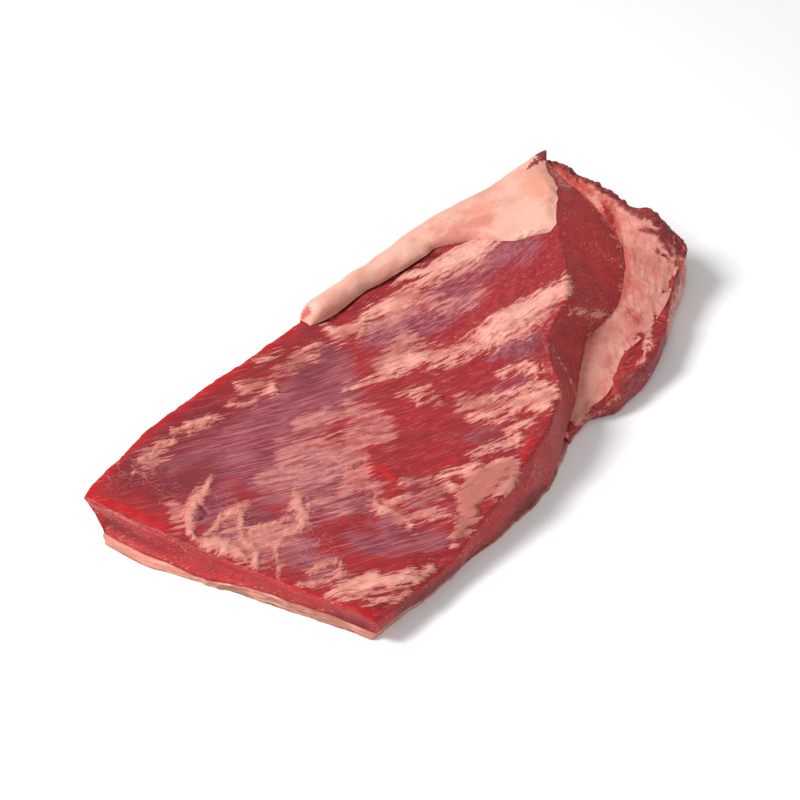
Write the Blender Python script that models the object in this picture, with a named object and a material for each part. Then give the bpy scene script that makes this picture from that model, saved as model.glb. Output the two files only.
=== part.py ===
"""Raw whole beef brisket lying on its fat side: the flat muscle, the point muscle under its thick end,
the seam fat between the two, the fat cap below and the fat that rolls over the far edge.

Lengths are in millimetres until the meshes are made in metres. X runs from the cut front end to the point
end, Y from the near side to the far side and Z up. Every piece is the skin of a unit box u, v, w that is
bent by its own place function: u along X, v along Y and w upwards."""

import bpy
import numpy as np

MM = 0.001

# Room left between neighbouring pieces
GAP = 0.5
SEAM_GAP = 1.2

# Plan outlines along the length, as (x, y)
FLAT_NEAR_TOP = [(-184, -133), (-110, -132), (-45, -127), (5, -118), (50, -105), (72, -91), (86, -72),
                 (108, -56), (140, -44), (166, -27), (195, 2), (225, 28), (245, 42)]
GROUND_NEAR = [(-178, -128), (-99, -129), (-22, -129), (16, -124), (56, -110), (78, -101), (91, -100),
               (126, -109), (159, -108), (184, -102), (211, -92), (253, -71), (285, -58), (305, -40)]
FLAT_NEAR_LOW = [(-178, -128), (-99, -129), (-22, -129), (16, -124), (56, -108), (82, -96), (124, -76),
                 (158, -60), (195, -59), (215, -53), (235, -38), (250, -22), (260, -3), (269, 18), (275, 44)]
FAR_SIDE = [(-232, 90), (-197, 99), (-160, 107), (-125, 111), (-40, 113), (99, 113), (164, 107),
            (231, 91), (262, 86), (300, 77)]

# Plan outlines across the width, as (share of the way to the far side, x)
FRONT_TOP = [(0, -184), (0.3, -202), (0.6, -216), (0.85, -226), (1, -230)]
FRONT_LOW = [(0, -178), (0.3, -197), (0.6, -213), (0.85, -227), (1, -228)]
FLAT_END_TOP = [(0, 245), (0.5, 264), (1, 283)]
FLAT_END_LOW = [(0, 275), (0.5, 278), (1, 281)]
POINT_START = [(0, 68), (1, 60)]
POINT_END = [(0, 294), (0.1, 299), (0.23, 301), (0.44, 295), (0.8, 295), (1, 291)]
SEAM_END = [(0, 288), (0.1, 297), (0.2, 291), (0.31, 286), (0.7, 286), (1, 283)]

# Heights along the length, as (x, z)
TOP_NEAR = [(-184, 21), (-110, 20), (-80, 25), (-45, 33), (5, 38), (50, 45), (72, 49), (86, 54), (108, 59),
            (140, 64), (166, 68), (195, 72), (225, 76), (245, 77)]
TOP_FAR = [(-232, 36), (-160, 35), (-40, 35), (27, 36), (99, 39), (164, 46), (231, 60), (283, 73)]

# Height of the seam fat's upper side above the fat cap, as (x, rise)
SEAM_RISE_NEAR = [(60, 3.5), (91, 11), (126, 19), (159, 23), (211, 26), (253, 30), (285, 36), (305, 39)]
SEAM_RISE_FAR = [(60, 3.5), (100, 8), (164, 21), (231, 44), (262, 57), (292, 69)]

# The top of the flat rises from its thin near edge within this share of the width
SHOULDER = 0.07
SHOULDER_RISE = [(-184, 5), (-120, 7), (-60, 2), (-30, 0), (260, 0)]

# Thickness of the fat cap, of the seam fat and of the muscle wedge where the point begins
CAP_THICK = 9.0
CAP_EDGE = [(-184, 6), (-140, 3), (-110, 1.5), (305, 1.2)]
CAP_END_TAPER = 60.0
FAR_UNDERCUT = [(-232, 14), (-190, 8), (-120, 4), (60, 3), (290, 3)]
CAP_INSET = 7.0
CAP_INSET_FROM = 70.0
SEAM_THICK = [(60, 1), (110, 4), (200, 8), (305, 8)]
SEAM_EDGE = 1.5
SEAM_INSET = [(60, 0), (100, 1), (131, 9), (161, 19), (185, 14), (210, 9), (240, 2), (300, 1)]
RAMP_LENGTH = 25.0

# Shape of the walls: waist of the cut front, bulge of the near, end and point walls
WAIST_NEAR = 1.5
WAIST_FAR = 6.0
NEAR_BULGE = 2.5
END_BULGE = 3.0
POINT_BULGE = 2.5

# Fat over the far edge: inner border on the top as (u, v), thickness of the roll and of the flat sheet
ROLL_START = 0.487
ROLL_INNER = [(0.487, 0.97), (0.54, 0.945), (0.63, 0.915), (0.70, 0.87), (0.75, 0.78), (0.80, 0.62),
              (0.84, 0.36), (0.88, 0.17), (0.91, 0.03), (1, 0.03)]
ROLL_THICK = [(0.487, 7), (0.53, 10.5), (0.63, 11.5), (0.75, 10), (0.88, 7.5), (1, 4.5)]
ROLL_WIDTH = 20.0
ROLL_GAP = 1.0
SHEET_THICK = 3.0
ROLL_SHARE_TOP = 0.5
ROLL_FOOT = [(20, 0.5), (120, 0.35), (283, 0.3)]

COLOURS = {"meat": (0.42, 0.045, 0.045, 1), "fat": (0.80, 0.45, 0.34, 1)}


def smooth(table, x):
    """Value at x of a smooth curve through (position, value) points that overshoots none of them."""
    place, value = np.array(table, float).T
    step = np.diff(place)
    slope = np.diff(value) / step
    tangent = np.zeros_like(value)
    tangent[0] = slope[0]
    tangent[-1] = slope[-1]
    for i in range(1, len(value) - 1):
        if slope[i - 1] * slope[i] > 0:
            before = 2 * step[i] + step[i - 1]
            after = step[i] + 2 * step[i - 1]
            tangent[i] = (before + after) / (before / slope[i - 1] + after / slope[i])
    x = np.clip(x, place[0], place[-1])
    i = np.clip(np.searchsorted(place, x) - 1, 0, len(place) - 2)
    t = (x - place[i]) / step[i]
    return (value[i] * (1 + 2 * t) * (1 - t) ** 2 + step[i] * tangent[i] * t * (1 - t) ** 2
            + value[i + 1] * t * t * (3 - 2 * t) + step[i] * tangent[i + 1] * t * t * (t - 1))


def ease(t):
    """Soft step from 0 to 1."""
    t = np.clip(t, 0, 1)
    return t * t * (3 - 2 * t)


def outline(u, v, start, end, near, far):
    """Plan position between two ends, given across the width, and two sides, given along the length."""
    x = smooth(start, v) * (1 - u) + smooth(end, v) * u
    y = near(x) * (1 - v) + far(x) * v
    return x, y


def far_side(x):
    return smooth(FAR_SIDE, x)


def far_low(x):
    return far_side(x) - smooth(FAR_UNDERCUT, x)


def ground_near(x):
    return smooth(GROUND_NEAR, x)


def share_across(x, y):
    """How far y lies from the near side of the whole cut towards its far side."""
    return np.clip((y - ground_near(x)) / (far_side(x) - ground_near(x)), 0, 1)


def cap_top(x, y):
    """Upper side of the fat cap: thick under the middle, thin along the near side and the end."""
    edge = smooth(CAP_EDGE, x)
    inside = ease(share_across(x, y) / 0.3) * ease((POINT_END[0][1] - x) / CAP_END_TAPER)
    return edge + (CAP_THICK - edge) * inside


def seam_top(x, y):
    """Upper side of the seam fat, on which the flat lies."""
    near = smooth(SEAM_RISE_NEAR, x)
    rise = near + (smooth(SEAM_RISE_FAR, x) - near) * np.sin(share_across(x, y) * np.pi / 2)
    return cap_top(x, y) + rise


def seam_low(x, y):
    """Lower side of the seam fat, under which the point muscle lies."""
    v = share_across(x, y)
    inside = ease(v / 0.35)
    return seam_top(x, y) - (SEAM_EDGE + (smooth(SEAM_THICK, x) - SEAM_EDGE) * inside)


def flat_low(x, y):
    """Underside of the flat: on the fat cap at the front, climbing onto the seam fat."""
    start = POINT_START[0][1]
    climb = ease((x - start + RAMP_LENGTH) / RAMP_LENGTH)
    on_cap = cap_top(x, y)
    return on_cap + GAP + (seam_top(x, y) + SEAM_GAP - on_cap - GAP) * climb


def flat_place(u, v, w):
    """The flat: a long slab with a cut front end and a sloping end wall."""
    x, y = outline(u, v, FRONT_TOP, FLAT_END_TOP, lambda at: smooth(FLAT_NEAR_TOP, at), far_side)
    near = smooth(TOP_NEAR, x)
    z = near + (smooth(TOP_FAR, x) - near) * v
    z = z + smooth(SHOULDER_RISE, x) * (ease(v / SHOULDER) - v)
    low_x, low_y = outline(u, v, FRONT_LOW, FLAT_END_LOW, lambda at: smooth(FLAT_NEAR_LOW, at), far_low)
    low_z = flat_low(low_x, low_y)
    belly = np.sin(w * np.pi)
    waist = np.sin(w ** 0.6 * np.pi) * (WAIST_NEAR + (WAIST_FAR - WAIST_NEAR) * v)
    x = low_x + (x - low_x) * w
    y = low_y + (y - low_y) * w
    x = x + waist * (u == 0) + END_BULGE * belly * (u == 1) * (1 - v)
    y = y - NEAR_BULGE * belly * (v == 0)
    return x, y, low_z + (z - low_z) * w


def point_place(u, v, w):
    """The point: the thick wedge under the far half of the flat."""
    x, y = outline(u, v, POINT_START, POINT_END, ground_near, far_side)
    low = cap_top(x, y) + GAP
    high = seam_low(x, y) - SEAM_GAP
    belly = np.sin(w * np.pi)
    y = y - POINT_BULGE * belly * (v == 0)
    x = x + POINT_BULGE * belly * (u == 1) * (1 - v)
    return x, y, low + (high - low) * w


def seam_near(x):
    return ground_near(x) + smooth(SEAM_INSET, x)


def seam_place(u, v, w):
    """The seam fat: a layer on the point that shows beside the end wall of the flat."""
    x, y = outline(u, v, POINT_START, SEAM_END, seam_near, far_side)
    low = seam_low(x, y)
    high = seam_top(x, y)
    return x, y, low + (high - low) * w


def cap_near(x):
    return ground_near(x) + CAP_INSET * ease((x - CAP_INSET_FROM) / CAP_END_TAPER)


def cap_end(v):
    return smooth(POINT_END, v) - CAP_INSET


def cap_place(u, v, w):
    """The fat cap: the layer that the whole cut lies on."""
    x = smooth(FRONT_LOW, v) * (1 - u) + cap_end(v) * u
    y = cap_near(x) * (1 - v) + far_low(x) * v
    return x, y, cap_top(x, y) * w


def far_wall_foot(x):
    """Height at which the fat on the far wall ends."""
    return smooth(TOP_FAR, x) * smooth(ROLL_FOOT, x)


def edge_base(u, s):
    """Point under the fat roll: s runs over the top to the far edge, then down the far wall."""
    across = np.clip(s / ROLL_SHARE_TOP, 0, 1)
    down = np.clip((s - ROLL_SHARE_TOP) / (1 - ROLL_SHARE_TOP), 0, 1)
    inner = smooth(ROLL_INNER, u)
    x, y, z = flat_place(u, inner + (1 - inner) * across, np.ones_like(u))
    return np.stack([x, y, z - down * (z - far_wall_foot(x))], -1)


def edge_thickness(u, s):
    """Round roll along the edge, thin sheet further in, thin again at the foot of the wall."""
    inner = edge_base(u, np.zeros_like(s))
    rim = edge_base(u, np.full_like(s, ROLL_SHARE_TOP))
    here = edge_base(u, s)
    roll = smooth(ROLL_THICK, u)
    width = np.linalg.norm(rim - inner, axis=-1)
    inwards = np.linalg.norm(rim - here, axis=-1) / np.minimum(width, ROLL_WIDTH)
    down = np.clip((s - ROLL_SHARE_TOP) / (1 - ROLL_SHARE_TOP), 0, 1)
    on_top = SHEET_THICK + (roll - SHEET_THICK) * np.sqrt(np.clip(1 - inwards ** 2, 0, 1))
    on_wall = SHEET_THICK + (roll - SHEET_THICK) * (1 - down ** 2)
    blunt = np.sqrt(np.clip((u - ROLL_START) / 0.03, 0.02, 1))
    return np.where(s <= ROLL_SHARE_TOP, on_top, on_wall) * blunt


def edge_place(t, s, w):
    """The fat over the far edge: a curved shell on the flat and down the far wall."""
    u = ROLL_START + (1 - ROLL_START) * t
    base = edge_base(u, s)
    small = 0.004
    along = edge_base(np.minimum(u + small, 1), s) - edge_base(np.maximum(u - small, ROLL_START), s)
    across = edge_base(u, np.clip(s + 0.06, 0, 1)) - edge_base(u, np.clip(s - 0.06, 0, 1))
    normal = np.cross(along, across)
    normal /= np.linalg.norm(normal, axis=-1)[..., None]
    reach = ROLL_GAP + edge_thickness(u, s) * w
    spot = base + normal * reach[..., None]
    return spot[..., 0], spot[..., 1], spot[..., 2]


def spread(count, crowd=0.5):
    """Even steps from 0 to 1, crowded towards both ends."""
    t = np.linspace(0, 1, count + 1)
    return t * (1 - crowd) + (1 - np.cos(t * np.pi)) / 2 * crowd


def box_skin(us, vs, ws):
    """Lattice corners and outward quads of the skin of a box."""
    last = (len(us) - 1, len(vs) - 1, len(ws) - 1)
    index = {}
    quads = []

    def corner(i, j, k):
        return index.setdefault((i, j, k), len(index))

    for i in range(last[0]):
        for j in range(last[1]):
            for k, turn in ((last[2], 1), (0, -1)):
                ring = [corner(i, j, k), corner(i + 1, j, k), corner(i + 1, j + 1, k), corner(i, j + 1, k)]
                quads.append(ring[::turn])
    for i in range(last[0]):
        for k in range(last[2]):
            for j, turn in ((0, 1), (last[1], -1)):
                ring = [corner(i, j, k), corner(i + 1, j, k), corner(i + 1, j, k + 1), corner(i, j, k + 1)]
                quads.append(ring[::turn])
    for j in range(last[1]):
        for k in range(last[2]):
            for i, turn in ((last[0], 1), (0, -1)):
                ring = [corner(i, j, k), corner(i, j + 1, k), corner(i, j + 1, k + 1), corner(i, j, k + 1)]
                quads.append(ring[::turn])
    spots = np.array([(us[i], vs[j], ws[k]) for i, j, k in index])
    return spots, quads


def material(name):
    found = bpy.data.materials.get(name)
    if found:
        return found
    made = bpy.data.materials.new(name)
    made.use_nodes = True
    shader = made.node_tree.nodes["Principled BSDF"]
    shader.inputs["Base Color"].default_value = COLOURS[name.split("_")[0]]
    shader.inputs["Roughness"].default_value = 0.45
    return made


def solid(name, place, us, vs, ws, stuff):
    """Named mesh of the box skin bent by place, still in millimetres."""
    spots, quads = box_skin(us, vs, ws)
    points = np.stack(place(*spots.T), -1)
    mesh = bpy.data.meshes.new(name)
    mesh.from_pydata(points.tolist(), [], quads)
    mesh.materials.append(material(stuff + "_" + name))
    mesh.polygons.foreach_set("use_smooth", [True] * len(mesh.polygons))
    mesh.set_sharp_from_angle(angle=np.radians(50))
    made = bpy.data.objects.new(name, mesh)
    bpy.context.collection.objects.link(made)
    return made


def stand_on_origin(pieces):
    """Move the meshes so that the middle of the underside is the origin, and turn them into metres."""
    low = np.full(3, np.inf)
    high = np.full(3, -np.inf)
    for piece in pieces:
        spots = np.array([vertex.co for vertex in piece.data.vertices])
        low = np.minimum(low, spots.min(0))
        high = np.maximum(high, spots.max(0))
    middle = np.array([(low[0] + high[0]) / 2, (low[1] + high[1]) / 2, low[2]])
    print("offset", middle, "size", high - low)
    for piece in pieces:
        for vertex in piece.data.vertices:
            vertex.co = (np.array(vertex.co) - middle) * MM


def main():
    for leftover in list(bpy.data.objects):
        bpy.data.objects.remove(leftover)
    pieces = [
        solid("flat_muscle", flat_place, spread(44), spread(22), spread(4, 0), "meat"),
        solid("point_muscle", point_place, spread(16), spread(12), spread(3, 0), "meat"),
        solid("seam_fat", seam_place, spread(18), spread(14), spread(1), "fat"),
        solid("fat_cap", cap_place, spread(36), spread(12), spread(1), "fat"),
        solid("edge_fat", edge_place, spread(26, 0.3), spread(14, 0), spread(2, 0), "fat"),
    ]
    stand_on_origin(pieces)


main()
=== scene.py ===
"""Looks of a raw whole beef brisket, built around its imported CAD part.

Lengths are in millimetres until a mesh is made in metres. The layout frame has X along the cut from the
thin front end to the thick point end, Y from the near to the far side and Z up; the row frame is the same
frame with its origin at the middle of the underside. Picture spots are pixels of a view 800 wide."""

import bpy
import numpy as np
from mathutils import Matrix, Vector


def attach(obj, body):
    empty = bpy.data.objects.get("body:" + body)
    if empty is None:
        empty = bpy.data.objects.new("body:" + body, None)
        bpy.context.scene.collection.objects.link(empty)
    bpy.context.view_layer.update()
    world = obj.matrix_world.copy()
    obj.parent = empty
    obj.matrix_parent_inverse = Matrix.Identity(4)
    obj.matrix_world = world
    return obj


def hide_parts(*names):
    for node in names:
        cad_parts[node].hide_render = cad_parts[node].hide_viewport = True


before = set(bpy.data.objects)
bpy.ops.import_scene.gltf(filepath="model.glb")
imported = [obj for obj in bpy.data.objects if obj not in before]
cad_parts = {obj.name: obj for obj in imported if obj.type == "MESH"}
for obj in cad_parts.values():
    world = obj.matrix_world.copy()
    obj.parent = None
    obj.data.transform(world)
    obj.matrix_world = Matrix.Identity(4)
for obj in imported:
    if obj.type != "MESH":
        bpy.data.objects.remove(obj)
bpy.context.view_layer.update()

MM = 0.001
ROW_ORIGIN = np.array([36.29, -4.10, 0.0])
GAP = 0.1

# Camera of the photo: bearing and height of its view, distance and focal length, in metres and pixels
VIEW_BEARING = -50.0
VIEW_HEIGHT = 38.0
VIEW_DISTANCE = 1.6
VIEW_TARGET = np.array([0.0, 0.0, 30.0])
FOCAL_PIXELS = 2180.0
VIEW_PIXELS = 800.0
SENSOR_WIDTH = 36.0

# Plan outlines along the length, as (x, y)
FLAT_NEAR_TOP = [(-184, -133), (-110, -132), (-45, -127), (5, -118), (50, -105), (72, -91), (86, -72),
                 (108, -56), (140, -44), (166, -27), (195, 2), (225, 28), (245, 42)]
GROUND_NEAR = [(-178, -128), (-99, -129), (-22, -129), (16, -124), (56, -110), (78, -101), (91, -100),
               (126, -109), (159, -108), (184, -102), (211, -92), (253, -71), (285, -58), (305, -40)]
FLAT_NEAR_LOW = [(-178, -128), (-99, -129), (-22, -129), (16, -124), (56, -108), (82, -96), (124, -76),
                 (158, -60), (195, -59), (215, -53), (235, -38), (250, -22), (260, -3), (269, 18), (275, 44)]
FAR_SIDE = [(-232, 90), (-197, 99), (-160, 107), (-125, 111), (-40, 113), (99, 113), (164, 107),
            (231, 91), (262, 86), (300, 77)]

# Plan outlines across the width, as (share of the way to the far side, x)
FRONT_TOP = [(0, -184), (0.3, -202), (0.6, -216), (0.85, -226), (1, -230)]
FRONT_LOW = [(0, -178), (0.3, -197), (0.6, -213), (0.85, -227), (1, -228)]
FLAT_END_TOP = [(0, 245), (0.5, 264), (1, 283)]
FLAT_END_LOW = [(0, 275), (0.5, 278), (1, 281)]
POINT_START = [(0, 68), (1, 60)]
POINT_END = [(0, 294), (0.1, 299), (0.23, 301), (0.44, 295), (0.8, 295), (1, 291)]
SEAM_END = [(0, 288), (0.1, 297), (0.2, 291), (0.31, 286), (0.7, 286), (1, 283)]

# Heights along the length, as (x, z)
TOP_NEAR = [(-184, 21), (-110, 20), (-80, 25), (-45, 33), (5, 38), (50, 45), (72, 49), (86, 54), (108, 59),
            (140, 64), (166, 68), (195, 72), (225, 76), (245, 77)]
TOP_FAR = [(-232, 36), (-160, 35), (-40, 35), (27, 36), (99, 39), (164, 46), (231, 60), (283, 73)]
SHOULDER = 0.07
SHOULDER_RISE = [(-184, 5), (-120, 7), (-60, 2), (-30, 0), (260, 0)]
SEAM_RISE_NEAR = [(60, 3.5), (91, 11), (126, 19), (159, 23), (211, 26), (253, 30), (285, 36), (305, 39)]
SEAM_RISE_FAR = [(60, 3.5), (100, 8), (164, 21), (231, 44), (262, 57), (292, 69)]

# Layers
CAP_THICK = 9.0
CAP_EDGE = [(-184, 6), (-140, 3), (-110, 1.5), (305, 1.2)]
CAP_END_TAPER = 60.0
CAP_THIN = 0.6
CAP_THIN_SHARE = 0.56
CAP_THIN_WIDTH = 0.12
CAP_THIN_FRONT = 16.0
CAP_THIN_FADE = 14.0
CAP_FULL_SHARE = 0.3
FAR_UNDERCUT = [(-232, 14), (-190, 8), (-120, 4), (60, 3), (290, 3)]
CAP_INSET = 7.0
CAP_INSET_FROM = 70.0
SEAM_THICK = [(60, 1), (110, 4), (200, 8), (305, 8)]
SEAM_EDGE = 1.5
SEAM_FEATHER = 0.07
SEAM_LEAST = 0.02
SEAM_FULL_SHARE = 0.35
SEAM_INSET = [(60, 0), (100, 1), (131, 9), (161, 19), (185, 14), (210, 9), (240, 2), (300, 1)]
LIP = 3.0
LIP_FILL = 2.0
RAMP_LENGTH = 25.0
WAIST_NEAR = 1.5
WAIST_FAR = 6.0
WAIST_SKEW = 0.6
NEAR_BULGE = 2.5
END_BULGE = 3.0
POINT_BULGE = 2.5
POINT_FOOT_FADE = 0.1

# Fat over the far edge
ROLL_START = 0.487
ROLL_INNER = [(0.487, 0.965), (0.52, 0.946), (0.60, 0.94), (0.635, 0.912), (0.68, 0.884), (0.74, 0.854),
              (0.79, 0.74), (0.815, 0.53), (0.83, 0.40), (0.864, 0.235), (0.89, 0.09), (0.91, 0.01), (1, 0)]
ROLL_THICK = [(0.487, 9), (0.53, 11), (0.60, 11.5), (0.65, 10), (0.78, 10.5), (0.85, 9), (0.90, 6.5),
              (1, 4.5)]
ROLL_WIDTH = [(0.487, 11), (0.60, 14), (0.635, 18), (0.70, 26), (0.756, 38), (0.79, 50), (0.82, 58), (1, 62)]
ROLL_FULLNESS = 2.6
ROLL_GAP = 0.3
ROLL_BLUNT = 0.03
ROLL_LEAST = 0.02
SHEET_THICK = 3.0
SHEET_TAPER = 13.0
SHEET_BLUNT = 0.02
SHEET_LEAST = 0.05
SHEET_RAGGED = 0.02
SHEET_RAGGED_SIZE = 9
SHEET_RAGGED_FROM = (0.68, 0.1)
TIP = np.array([3.0, 0.5, 3.0])
TIP_SIZE = 6.5
TIP_FROM = 0.972
TIP_REACH = 0.024
TIP_CURVE = 1.2
WALL_THIN = 0.25
WALL_THIN_REACH = 0.25
ROLL_SHARE_TOP = 0.5
ROLL_FOOT = [(20, 0.5), (120, 0.35), (235, 0.32), (283, 0.46)]
FOOT_RAGGED = 4.0
FOOT_RAGGED_SIZE = 24
EDGE_LENGTH = 520
# Steps along and across the edge that its surface direction is taken from
STEP_ALONG = 0.004
STEP_ACROSS = 0.06

# Slight irregularity shared by all pieces, so they still fit each other
SWAY = np.array([1.3, 1.3, 0.7])
SWAY_SIZE = 26.0
FOOT_HEIGHT = 8.0
# The photo's far rim stands a little further out and its thick end a little higher than the solids. Pairs
# are the start and the length of a fade.
RIM_OUT = 3.6
RIM_OUT_ACROSS = (0.95, 0.05)
RIM_OUT_START = (-0.02, 0.04)
RIM_OUT_END = 0.55
RIM_OUT_FADE = 0.1
SEAM_LIFT = 3.0
SEAM_LIFT_SHARE = (0.8, 0.2)
SEAM_LIFT_ALONG = (190, 50)
LOBE_RISE = 6.5
LOBE_SHARE = 0.25
LOBE_WIDTH = 0.13
LOBE_ALONG = (255, 35)
# How deep the end wall of the flat sinks into the seam fat
SINK = 1.6

# Direction of the meat's grain along the length, as (x, degrees from X)
GRAIN_TURN = [(-230, -29), (-60, -25), (60, -19), (160, -11), (290, -6)]
GRAIN_FROM = -240
GRAIN_TO = 310
GRAIN_STEPS = 111


def smooth(table, x):
    """Value at x of a smooth curve through (position, value) points that overshoots none of them."""
    place, value = np.array(table, float).T
    step = np.diff(place)
    slope = np.diff(value) / step
    tangent = np.zeros_like(value)
    tangent[0] = slope[0]
    tangent[-1] = slope[-1]
    for i in range(1, len(value) - 1):
        if slope[i - 1] * slope[i] > 0:
            before = 2 * step[i] + step[i - 1]
            after = step[i] + 2 * step[i - 1]
            tangent[i] = (before + after) / (before / slope[i - 1] + after / slope[i])
    x = np.clip(x, place[0], place[-1])
    i = np.clip(np.searchsorted(place, x) - 1, 0, len(place) - 2)
    t = (x - place[i]) / step[i]
    return (value[i] * (1 + 2 * t) * (1 - t) ** 2 + step[i] * tangent[i] * t * (1 - t) ** 2
            + value[i + 1] * t * t * (3 - 2 * t) + step[i] * tangent[i + 1] * t * t * (t - 1))


def ease(t):
    """Soft step from 0 to 1."""
    t = np.clip(t, 0, 1)
    return t * t * (3 - 2 * t)


def fade(value, start, length):
    """Soft step from 0 to 1 that begins at the start and is done after the length."""
    return ease((value - start) / length)


def outline(u, v, start, end, near, far):
    """Plan position between two ends, given across the width, and two sides, given along the length."""
    x = smooth(start, v) * (1 - u) + smooth(end, v) * u
    return x, near(x) * (1 - v) + far(x) * v


def far_side(x):
    return smooth(FAR_SIDE, x)


def far_low(x):
    return far_side(x) - smooth(FAR_UNDERCUT, x)


def ground_near(x):
    return smooth(GROUND_NEAR, x)


def share_across(x, y):
    """How far y lies from the near side of the whole cut towards its far side."""
    return np.clip((y - ground_near(x)) / (far_side(x) - ground_near(x)), 0, 1)


def cap_top(x, y):
    edge = smooth(CAP_EDGE, x)
    share = share_across(x, y)
    inside = ease(share / CAP_FULL_SHARE) * ease((POINT_END[0][1] - x) / CAP_END_TAPER)
    front = ease((smooth(FRONT_LOW, share) + CAP_THIN_FRONT - x) / CAP_THIN_FADE)
    thin = CAP_THIN * np.exp(-((share - CAP_THIN_SHARE) / CAP_THIN_WIDTH) ** 2) * front
    return (edge + (CAP_THICK - edge) * inside) * (1 - thin)


def seam_top(x, y):
    share = share_across(x, y)
    near = smooth(SEAM_RISE_NEAR, x)
    rise = near + (smooth(SEAM_RISE_FAR, x) - near) * np.sin(share * np.pi / 2)
    lift = SEAM_LIFT * fade(share, *SEAM_LIFT_SHARE) * fade(x, *SEAM_LIFT_ALONG)
    lobe = np.exp(-((share - LOBE_SHARE) / LOBE_WIDTH) ** 2)
    lift = lift + LOBE_RISE * lobe * fade(x, *LOBE_ALONG)
    return cap_top(x, y) + rise + lift


def seam_low(x, y):
    inside = ease(share_across(x, y) / SEAM_FULL_SHARE)
    return seam_top(x, y) - (SEAM_EDGE + (smooth(SEAM_THICK, x) - SEAM_EDGE) * inside)


def flat_low(x, y):
    start = POINT_START[0][1]
    climb = ease((x - start + RAMP_LENGTH) / RAMP_LENGTH)
    on_cap = cap_top(x, y)
    return on_cap + GAP + (seam_top(x, y) - on_cap - SINK) * climb


def flat_place(u, v, w):
    """The flat: a long slab with a cut front end and a sloping end wall."""
    x, y = outline(u, v, FRONT_TOP, FLAT_END_TOP, lambda at: smooth(FLAT_NEAR_TOP, at), far_side)
    near = smooth(TOP_NEAR, x)
    z = near + (smooth(TOP_FAR, x) - near) * v
    z = z + smooth(SHOULDER_RISE, x) * (ease(v / SHOULDER) - v)
    low_x, low_y = outline(u, v, FRONT_LOW, FLAT_END_LOW, lambda at: smooth(FLAT_NEAR_LOW, at), far_low)
    low_z = flat_low(low_x, low_y)
    belly = np.sin(w * np.pi)
    waist = np.sin(w ** WAIST_SKEW * np.pi) * (WAIST_NEAR + (WAIST_FAR - WAIST_NEAR) * v)
    x = low_x + (x - low_x) * w + waist * (u == 0) + END_BULGE * belly * (u == 1) * (1 - v)
    y = low_y + (y - low_y) * w - NEAR_BULGE * belly * (v == 0)
    rim = RIM_OUT * fade(v, *RIM_OUT_ACROSS) * ease(w)
    y = y + rim * ease((RIM_OUT_END - u) / RIM_OUT_FADE) * fade(u, *RIM_OUT_START)
    return np.stack([x, y, low_z + (z - low_z) * w], -1)


def point_place(u, v, w):
    """The point: the thick wedge under the far half of the flat."""
    x, y = outline(u, v, POINT_START, POINT_END, ground_near, far_side)
    low = cap_top(x, y) * ease(v / POINT_FOOT_FADE) * ease((1 - u) / POINT_FOOT_FADE) + GAP
    beyond = x - smooth(SEAM_END, share_across(x, y)) + LIP
    high = seam_low(x, y) - GAP + LIP_FILL * ease(beyond / LIP)
    belly = np.sin(w * np.pi)
    y = y - POINT_BULGE * belly * (v == 0)
    x = x + POINT_BULGE * belly * (u == 1) * (1 - v)
    return np.stack([x, y, low + (high - low) * w], -1)


def seam_place(u, v, w):
    """The seam fat: a layer on the point that shows beside the end wall of the flat."""
    x, y = outline(u, v, POINT_START, SEAM_END, lambda at: ground_near(at) + smooth(SEAM_INSET, at), far_side)
    low = seam_low(x, y)
    thin = np.clip(ease(v / SEAM_FEATHER), SEAM_LEAST, 1)
    return np.stack([x, y, low + (seam_top(x, y) - low) * w * thin], -1)


def cap_place(u, v, w):
    """The fat cap: the layer that the whole cut lies on."""
    x = smooth(FRONT_LOW, v) * (1 - u) + (smooth(POINT_END, v) - CAP_INSET) * u
    near = ground_near(x) + CAP_INSET * ease((x - CAP_INSET_FROM) / CAP_END_TAPER)
    y = near * (1 - v) + far_low(x) * v
    return np.stack([x, y, cap_top(x, y) * w], -1)


def noise_along_edge(u, size, seed):
    return layered_noise(np.stack([u * EDGE_LENGTH, 0 * u, 0 * u], -1), size, seed)


def down_wall(s):
    """How far down the far wall s lies: 0 at the rim and 1 at the foot."""
    return np.clip((s - ROLL_SHARE_TOP) / (1 - ROLL_SHARE_TOP), 0, 1)


def edge_base(u, s):
    """Point under the fat roll: s runs over the top to the far edge, then down the far wall."""
    across = np.clip(s / ROLL_SHARE_TOP, 0, 1)
    down = down_wall(s)
    ragged = noise_along_edge(u, SHEET_RAGGED_SIZE, 90) * fade(u, *SHEET_RAGGED_FROM)
    inner = smooth(ROLL_INNER, u) + SHEET_RAGGED * ragged
    spot = flat_place(u, inner + (1 - inner) * across, np.ones_like(u))
    foot = smooth(TOP_FAR, spot[:, 0]) * smooth(ROLL_FOOT, spot[:, 0])
    foot = foot + FOOT_RAGGED * noise_along_edge(u, FOOT_RAGGED_SIZE, 95)
    spot[:, 2] -= down * (spot[:, 2] - foot)
    return spot


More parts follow.
